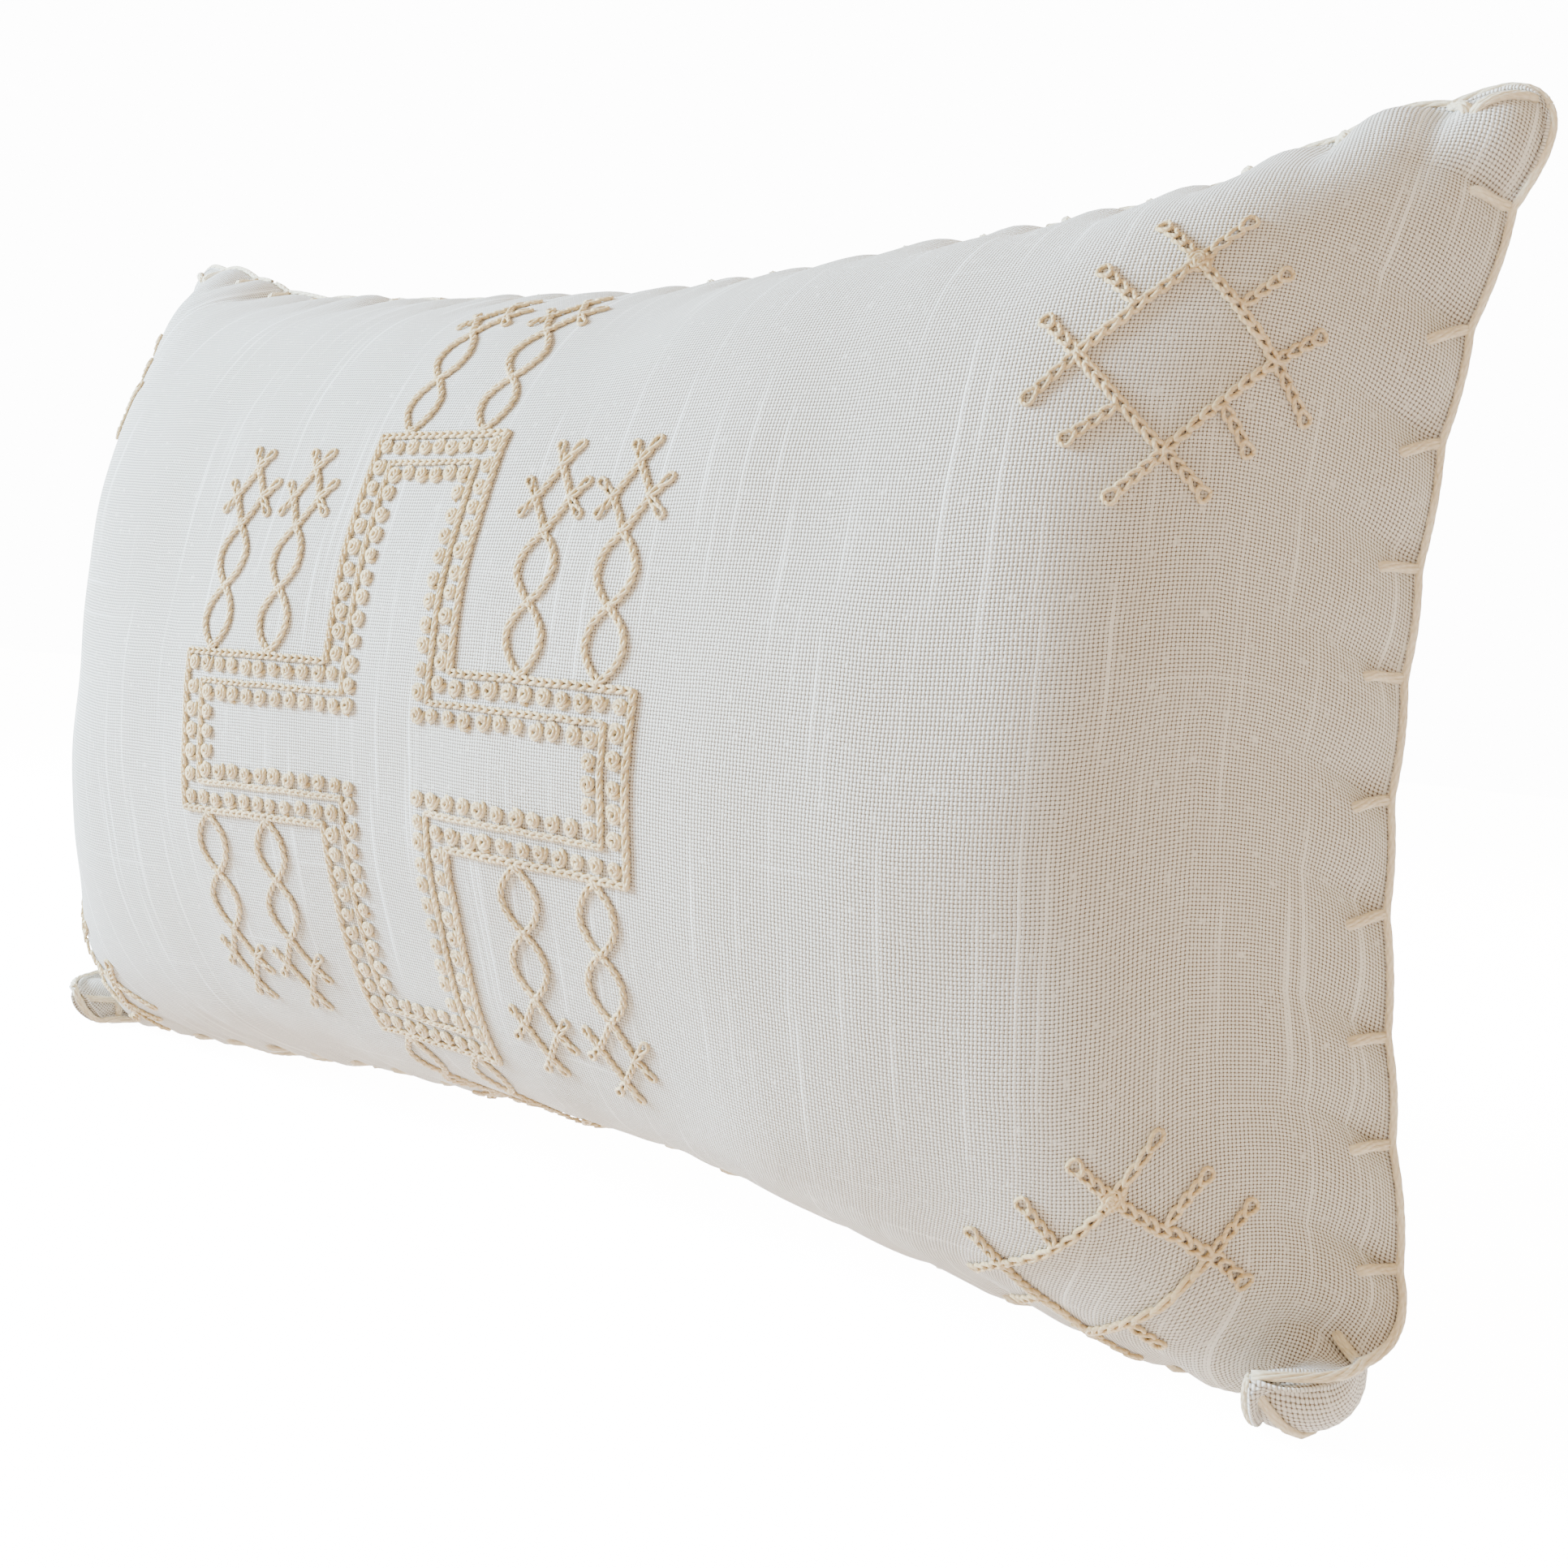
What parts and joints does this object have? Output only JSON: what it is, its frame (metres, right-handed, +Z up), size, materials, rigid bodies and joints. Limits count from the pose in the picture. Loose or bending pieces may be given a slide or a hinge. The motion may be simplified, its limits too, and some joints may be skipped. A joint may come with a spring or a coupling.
{
  "type": "throw pillow",
  "caption": "Plump lumbar throw pillow standing on its long edge, with an embroidered woven cover, blanket-stitched seams and a zip across the back.",
  "frame": {"origin": "on the surface that the pillow stands on, below the middle of its box", "axes": "+X along the pillow's length, -Y out of the embroidered front, +Z up; the pillow stands on a long edge"},
  "size_m": [0.4816, 0.1593, 0.2666],
  "materials": {
    "cover_cotton": "matte",
    "embroidery_thread": "matte",
    "edge_yarn": "matte",
    "insert_casing": "matte",
    "polyester_fibre": "matte",
    "zipper_tape": "matte",
    "zipper_coil": "satin",
    "zipper_metal": "satin",
    "label_satin": "satin"
  },
  "bodies": {
    "cushion": {"front_panel": "cover_cotton", "back_panel_upper": "cover_cotton", "back_panel_lower": "cover_cotton", "insert_casing_front": "insert_casing", "insert_casing_back": "insert_casing", "fibre_fill": "polyester_fibre", "care_label": "label_satin", "zipper_tape_upper": "zipper_tape", "zipper_tape_lower": "zipper_tape", "zipper_coil_upper": "zipper_coil", "zipper_coil_lower": "zipper_coil", "zipper_stop_closed": "zipper_metal", "zipper_stop_open": "zipper_metal", "edge_yarn_top": "edge_yarn", "edge_yarn_bottom": "edge_yarn", "edge_yarn_left": "edge_yarn", "edge_yarn_right": "edge_yarn", "cross_outer_chain": "embroidery_thread", "cross_outer_knots": "embroidery_thread", "cross_inner_chain": "embroidery_thread", "cross_inner_knots": "embroidery_thread", "oval_chain_upper_left_1": "embroidery_thread", "oval_chain_upper_left_2": "embroidery_thread", "oval_chain_upper_middle_left": "embroidery_thread", "oval_chain_upper_right_1": "embroidery_thread", "oval_chain_upper_right_2": "embroidery_thread", "oval_chain_upper_middle_right": "embroidery_thread", "oval_chain_lower_left_1": "embroidery_thread", "oval_chain_lower_left_2": "embroidery_thread", "oval_chain_lower_middle_left": "embroidery_thread", "oval_chain_lower_right_1": "embroidery_thread", "oval_chain_lower_right_2": "embroidery_thread", "oval_chain_lower_middle_right": "embroidery_thread", "corner_diamond_upper_left": "embroidery_thread", "corner_diamond_upper_right": "embroidery_thread", "corner_diamond_lower_left": "embroidery_thread", "corner_diamond_lower_right": "embroidery_thread"},
    "slider": {"zipper_slider": "zipper_metal"},
    "pull_tab": {"zipper_pull_tab": "zipper_metal"}
  },
  "joints": [
    {"name": "zip_travel", "type": "slide", "parent": "cushion", "child": "slider", "axis": [1, 0, 0], "range_m": [0, 0.228]},
    {"name": "pull_tab_flip", "type": "hinge", "parent": "slider", "child": "pull_tab", "pos_m": [-0.114, 0.07785, 0.126], "axis": [0, 0, 1], "range_deg": [0, 165]}
  ]
}
